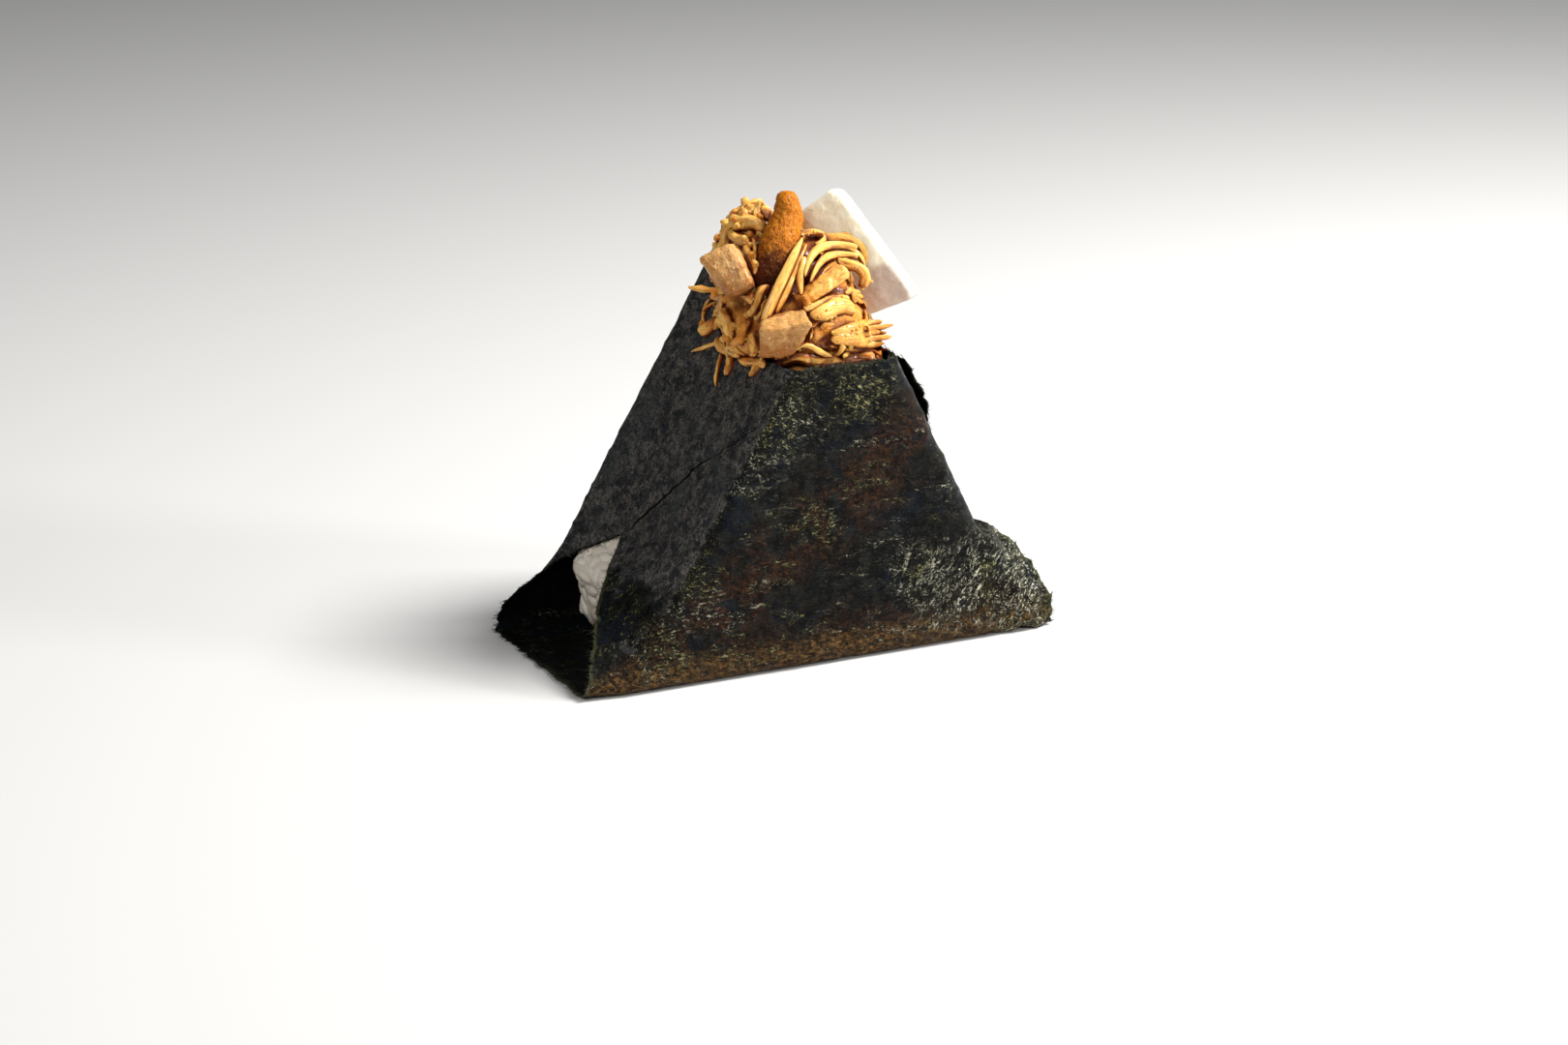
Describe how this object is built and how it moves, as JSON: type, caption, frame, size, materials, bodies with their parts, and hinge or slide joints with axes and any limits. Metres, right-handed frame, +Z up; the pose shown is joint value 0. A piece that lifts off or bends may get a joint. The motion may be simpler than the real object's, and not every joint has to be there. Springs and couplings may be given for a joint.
{
  "type": "onigiri rice ball",
  "caption": "Triangular onigiri of pressed rice folded in a dark sheet of nori, open at the top, with shredded chicken, a browned strip and a slab of white cheese standing out.",
  "frame": {"origin": "middle of the bounding box at the underside, where the wrapped triangle rests on its base edge", "axes": "+Z up from the base to the open peak, +X along the base between the two open lower corners (the longest side), -Y out of the front panel of the sheet, so Y runs through the thickness"},
  "size_m": [0.1054, 0.0486, 0.0936],
  "materials": {
    "nori": "satin",
    "rice": "satin",
    "chicken": "satin",
    "browned": "satin",
    "cheese": "satin"
  },
  "bodies": {
    "root": {"nori_sheet": "nori", "rice_block": "rice", "chicken_heap": "chicken", "cheese_slab": "cheese", "browned_strip": "browned", "chicken_chunk_left": "chicken", "chicken_chunk_middle": "chicken", "chicken_chunk_right": "chicken"}
  },
  "joints": []
}
